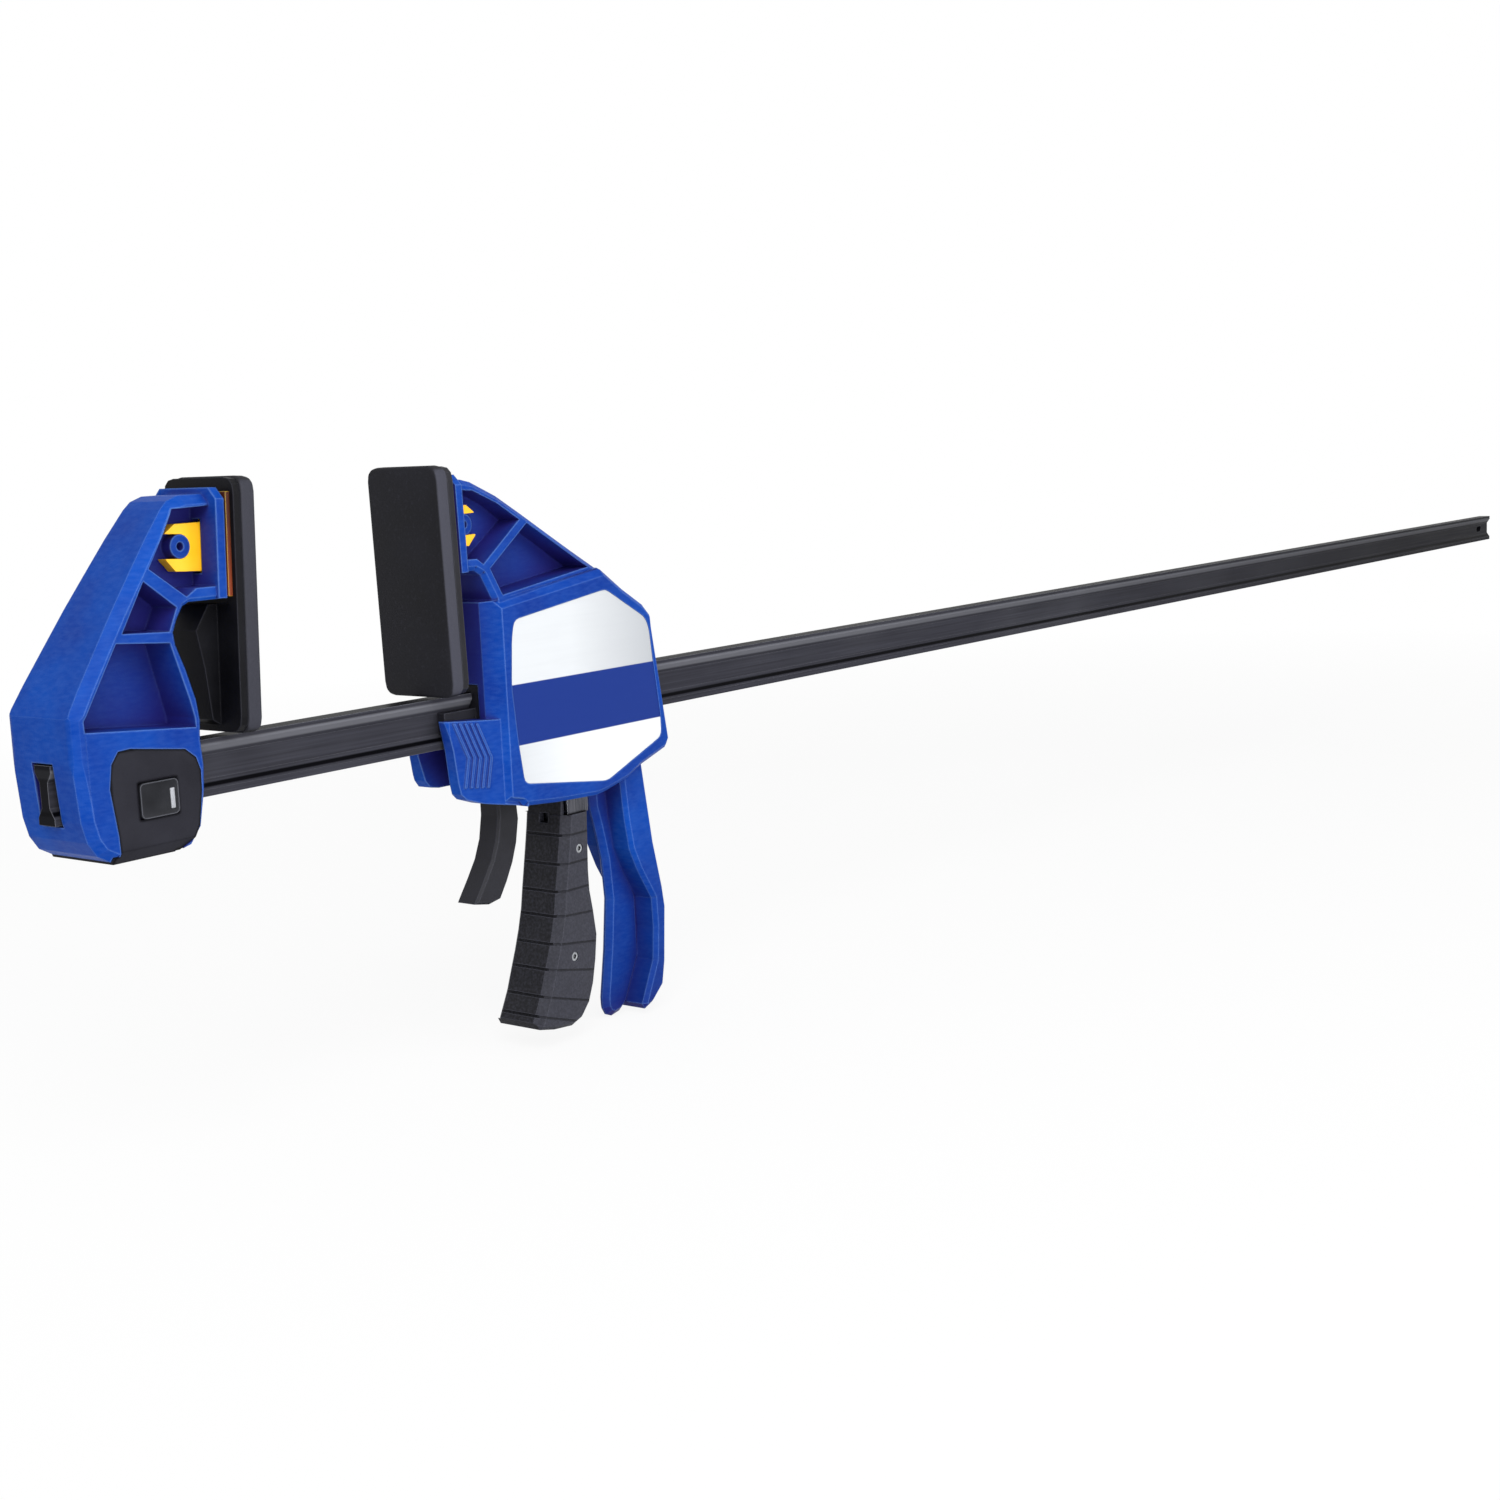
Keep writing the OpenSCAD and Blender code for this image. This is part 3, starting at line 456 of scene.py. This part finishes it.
def rounded_solid(node, radius, steps, least=math.radians(25)):
    """The node's solid with every sharp edge rounded off."""
    made = solid_of(node)
    sharp = [e for e in made.edges if len(e.link_faces) == 2 and e.calc_face_angle() > least]
    bmesh.ops.bevel(
        made, geom=sharp, offset=radius, segments=steps, profile=0.5,
        affect="EDGES", clamp_overlap=True)
    return made


def soft_pad(node, name, body, material):
    """A jaw's rubber pad: rounded all round."""
    radius, steps = 1.3 * MM, 4
    piece = add_piece(rounded_solid(node, radius, steps), name, body, material)
    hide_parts(node)


def spring_piece(node, body, material):
    """A coil as a piece of its own that rides on its body, with its own copy of its mesh."""
    piece = add_piece(solid_of(node), node + "_coil", body, material)
    piece.data.set_sharp_from_angle(angle=math.radians(60))
    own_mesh(piece)
    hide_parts(node)


def framed_button(material):
    """The lock button with round corners and a raised rim round its hollow face."""
    corner, rim, hollow = 1.7 * MM, 1.2 * MM, 0.5 * MM
    made = solid_of("lock_button")
    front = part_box("lock_button")[0].y + 0.1 * MM
    corners = [e for e in made.edges if min(v.co.y for v in e.verts) < front
               and abs((e.verts[0].co - e.verts[1].co).normalized().y) > 0.99]
    bmesh.ops.bevel(
        made, geom=corners, offset=corner, segments=4, profile=0.5,
        affect="EDGES", clamp_overlap=True)
    face = [f for f in made.faces if f.normal.y < -0.99 and f.calc_center_median().y < front]
    bmesh.ops.inset_region(
        made, faces=face, thickness=rim, depth=-hollow, use_even_offset=True)
    piece = add_piece(made, "lock_button_cap", "lock", material)
    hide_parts("lock_button")


def button_highlight_bar(material):
    """A pale bar let into the lock button's face, by its right edge: a painted highlight."""
    sunk, height = 0.6 * MM, 0.5 * MM
    low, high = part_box("lock_button")
    x0, x1 = high.x - 3.3 * MM, high.x - 1.6 * MM
    z0, z1 = low.z + 2 * MM, high.z - 3.2 * MM
    made = bmesh.new()
    corners = [(x0, z0), (x1, z0), (x1, z1), (x0, z1)]
    base = made.faces.new([made.verts.new((x, low.y + sunk, z)) for x, z in corners])
    grown = bmesh.ops.extrude_face_region(made, geom=[base])
    top = [v for v in grown["geom"] if isinstance(v, bmesh.types.BMVert)]
    bmesh.ops.translate(made, verts=top, vec=(0, -height, 0))
    bmesh.ops.recalc_face_normals(made, faces=made.faces)
    bmesh.ops.bevel(
        made, geom=list(made.edges), offset=0.12 * MM, segments=2, profile=0.5,
        affect="EDGES", clamp_overlap=True)
    add_piece(made, "lock_button_highlight_bar", "lock", material)


# ---------- the studio ----------

def plane(name, size, height, material):
    """A level square of the studio, twice size along each side."""
    made = bmesh.new()
    made.faces.new([made.verts.new((x * size, y * size, height))
                    for x, y in ((-1, -1), (1, -1), (1, 1), (-1, 1))])
    mesh = bpy.data.meshes.new(name)
    made.to_mesh(mesh)
    made.free()
    floor = bpy.data.objects.new(name, mesh)
    bpy.context.scene.collection.objects.link(floor)
    mesh.materials.append(material)


def floor_paint(bounce, shadow_share, middle, reach):
    """A floor that is seen as white, with a faint shadow round the object only."""
    paint = bpy.data.materials.new("floor")
    paint.use_nodes = True
    paint.node_tree.nodes.clear()
    g = Graph(paint.node_tree)
    lit = g.node("BsdfDiffuse", Color=(bounce, bounce, bounce, 1))
    plain = g.node("Emission", Color=(1, 1, 1, 1))
    ray = g.node("LightPath").outputs
    seen = g.math("MAXIMUM", ray["Is Camera Ray"], ray["Is Glossy Ray"])
    away = g.vector_math("DISTANCE", g.node("TexCoord").outputs["Object"], middle)
    fade = g.remap(away, reach * 0.3, reach, 1 - shadow_share, 1.0)
    blend = g.node("MixShader")
    g.feed(blend.inputs[0], g.math("MULTIPLY", seen, fade))
    g.feed(blend.inputs[1], lit.outputs[0])
    g.feed(blend.inputs[2], plain.outputs[0])
    g.node("OutputMaterial", Surface=blend.outputs[0])
    return paint


def world_light(strength):
    """White where it is seen or mirrored, softer as light."""
    world = bpy.data.worlds.new("studio")
    bpy.context.scene.world = world
    world.use_nodes = True
    g = Graph(world.node_tree)
    ray = g.node("LightPath").outputs
    for seen in ("Is Camera Ray", "Is Glossy Ray", "Is Transmission Ray"):
        strength = g.math("MAXIMUM", ray[seen], strength)
    back = g.tree.nodes["Background"]
    g.feed(back.inputs["Color"], (1, 1, 1, 1))
    g.feed(back.inputs["Strength"], strength)


def soft_box(name, place, aim, size, watts):
    """A rectangular lamp that looks from its place at its aim."""
    lamp = bpy.data.lights.new(name, "AREA")
    lamp.shape = "RECTANGLE"
    lamp.size, lamp.size_y = size
    lamp.energy = watts
    made = bpy.data.objects.new(name, lamp)
    made.location = place
    made.rotation_euler = (Vector(aim) - Vector(place)).to_track_quat("-Z", "Y").to_euler()
    bpy.context.scene.collection.objects.link(made)


def camera():
    """A 50 mm lens at the left end of the bar, on its near side."""
    lens = bpy.data.cameras.new("camera")
    lens.lens, lens.sensor_width = 50, 36
    lens.clip_start, lens.clip_end = 0.01, 200
    made = bpy.data.objects.new("camera", lens)
    made.location = (-0.483209, -0.604103, 0.097916)
    made.rotation_euler = [math.radians(a) for a in (81.4725, 2.4533, -53.154)]
    bpy.context.scene.collection.objects.link(made)
    bpy.context.scene.camera = made


# ---------- the clamp ----------

def paint(material, *names):
    """Gives each named node of the frame this material."""
    for name in names:
        for slot in NODES[name].material_slots:
            slot.material = material


blue = blue_plastic()
black = black_plastic()
steel = bright_steel()
silver = label_plate()
paint(blue, "fixed_jaw", "moving_jaw")
paint(black, "moving_backing", "front_guide", "rear_guide")
# the lock cover, with a painted shadow ring round its edges
paint(black_plastic("cover_plastic", COVER, specular=0.04, rim=COVER_PAINTED_RIM_SHADOW), "lock_cover")
# painted shade: the fixed backing takes a darker copy of the black plastic
paint(black_plastic("backing_plastic_in_painted_shade", BACKING_IN_PAINTED_SHADE, BACKING_PALE_AND_HIGHLIGHT, 0.08), "fixed_backing")
paint(black_plastic("lever_plastic", LEVER), "release_lever")
paint(grip_rubber(), "trigger_grip")
paint(yellow_plastic(), "fixed_carrier", "moving_carrier")
paint(bar_steel(), "bar")
paint(bright_steel("block_steel", STEEL_DULL), "trigger_arm", "drive_plates", "brake_plate")
paint(steel, "lock_yoke", "lock_key", "lock_spring", "drive_spring", "brake_spring", "trigger_pin",
      "trigger_screws")
paint(silver, "label_near", "label_far")
# the fixed pad's rubber is a copy with less painted light on its sides, as painted shade
soft_pad("fixed_pad", "fixed_pad_rubber", "fixed_pad_set", soft_rubber("rubber_in_painted_shade", 0.35))
soft_pad("moving_pad", "moving_pad_rubber", "moving_pad_set", soft_rubber("soft_rubber", 0.55))
for coil, carrier, joint, axis, keep in SPRINGS:
    spring_piece(coil, carrier, steel)
# the lock button, with a painted highlight along its edges
framed_button(black_plastic("button_plastic", BUTTON, BUTTON_PALE_AND_HIGHLIGHT, 0.1))
# painted highlight: a pale bar by the lock button's right edge
button_highlight_bar(black_plastic("highlight_bar_plastic", HIGHLIGHT_BAR, HIGHLIGHT_BAR_EDGE))

FLOOR = CAD_BOX[0].z - 0.5 * MM
MIDDLE = ((CAD_BOX[0].x + CAD_BOX[1].x) / 2, 0, FLOOR)
plane("floor", 60, FLOOR, floor_paint(bounce=0.85, shadow_share=0.12, middle=MIDDLE, reach=1.3))
world_light(strength=0.5)
soft_box("key", place=(-0.9, -1.0, 1.3), aim=(0.15, 0, 0), size=(1.2, 1.2), watts=26)
soft_box("side", place=(0.7, -1.7, 0.5), aim=(0.15, 0, 0), size=(1.4, 1.0), watts=13)
soft_box("low", place=(-0.5, -1.5, -0.02), aim=(0.15, 0, -0.02), size=(1.6, 0.24), watts=9)
camera()
bpy.context.scene.view_settings.view_transform = "Standard"
